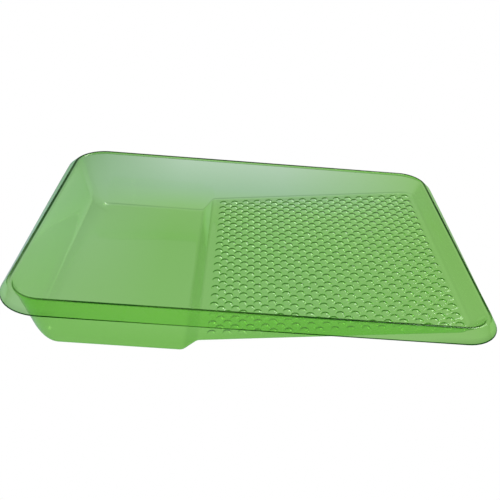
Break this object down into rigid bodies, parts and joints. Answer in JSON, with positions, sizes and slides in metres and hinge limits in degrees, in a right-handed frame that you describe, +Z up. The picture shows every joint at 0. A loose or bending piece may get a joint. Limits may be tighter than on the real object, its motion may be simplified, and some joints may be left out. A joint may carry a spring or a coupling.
{
  "type": "paint roller tray",
  "caption": "Clear green paint roller tray liner: deep paint well, step, domed ramp rising to one end, drafted walls and a turned-down rim.",
  "frame": {"origin": "under the middle of the rim, in the plane of the well's flat underside", "axes": "+X along the tray towards the ramp's high end, +Y to its left side, +Z up"},
  "size_m": [0.3756, 0.279, 0.0542],
  "materials": {
    "clear_green_sheet": "clear green tint, high gloss"
  },
  "bodies": {
    "root": {"well_floor": "clear_green_sheet", "riser_step": "clear_green_sheet", "ramp_panel": "clear_green_sheet", "well_end_wall": "clear_green_sheet", "well_side_wall_left": "clear_green_sheet", "well_side_wall_right": "clear_green_sheet", "ramp_side_wall_left": "clear_green_sheet", "ramp_side_wall_right": "clear_green_sheet", "ramp_end_wall": "clear_green_sheet", "crest_side_left": "clear_green_sheet", "crest_side_right": "clear_green_sheet", "crest_well_end": "clear_green_sheet", "crest_ramp_end": "clear_green_sheet", "crest_corner_well_left": "clear_green_sheet", "crest_corner_well_right": "clear_green_sheet", "crest_corner_ramp_left": "clear_green_sheet", "crest_corner_ramp_right": "clear_green_sheet", "skirt_side_left": "clear_green_sheet", "skirt_side_right": "clear_green_sheet", "skirt_well_end": "clear_green_sheet", "skirt_ramp_end": "clear_green_sheet", "skirt_corner_well_left": "clear_green_sheet", "skirt_corner_well_right": "clear_green_sheet", "skirt_corner_ramp_left": "clear_green_sheet", "skirt_corner_ramp_right": "clear_green_sheet"}
  },
  "joints": []
}
